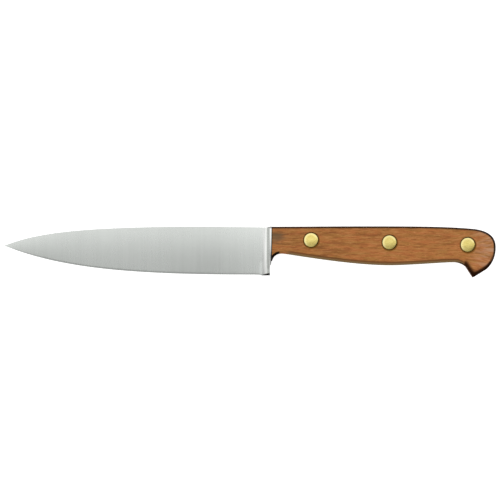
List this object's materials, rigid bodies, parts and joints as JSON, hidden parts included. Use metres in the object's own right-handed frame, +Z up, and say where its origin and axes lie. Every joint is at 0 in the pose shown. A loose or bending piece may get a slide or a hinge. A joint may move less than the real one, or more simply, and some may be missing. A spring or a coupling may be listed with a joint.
{
  "type": "paring knife",
  "caption": "Forged paring knife with a spear-point blade, full bolster, full tang and riveted wooden scales with a down-turned butt.",
  "frame": {"origin": "middle of the knife's box in plan, on the surface that the right scale's flat face rests on", "axes": "+X from the tip towards the butt, +Y from the cutting edge towards the spine, +Z up, from the right scale to the left scale"},
  "size_m": [0.2408, 0.025, 0.013],
  "materials": {
    "blade_steel": "fine satin grind across the blade, polished bolster",
    "handle_wood": "oiled reddish-brown fruitwood, sanded smooth",
    "rivet_brass": "ground flush and polished"
  },
  "bodies": {
    "root": {"blade_and_tang": "blade_steel", "scale_left": "handle_wood", "scale_right": "handle_wood", "rivet_front_tube": "rivet_brass", "rivet_front_pin": "rivet_brass", "rivet_middle_tube": "rivet_brass", "rivet_middle_pin": "rivet_brass", "rivet_rear_tube": "rivet_brass", "rivet_rear_pin": "rivet_brass"}
  },
  "joints": []
}
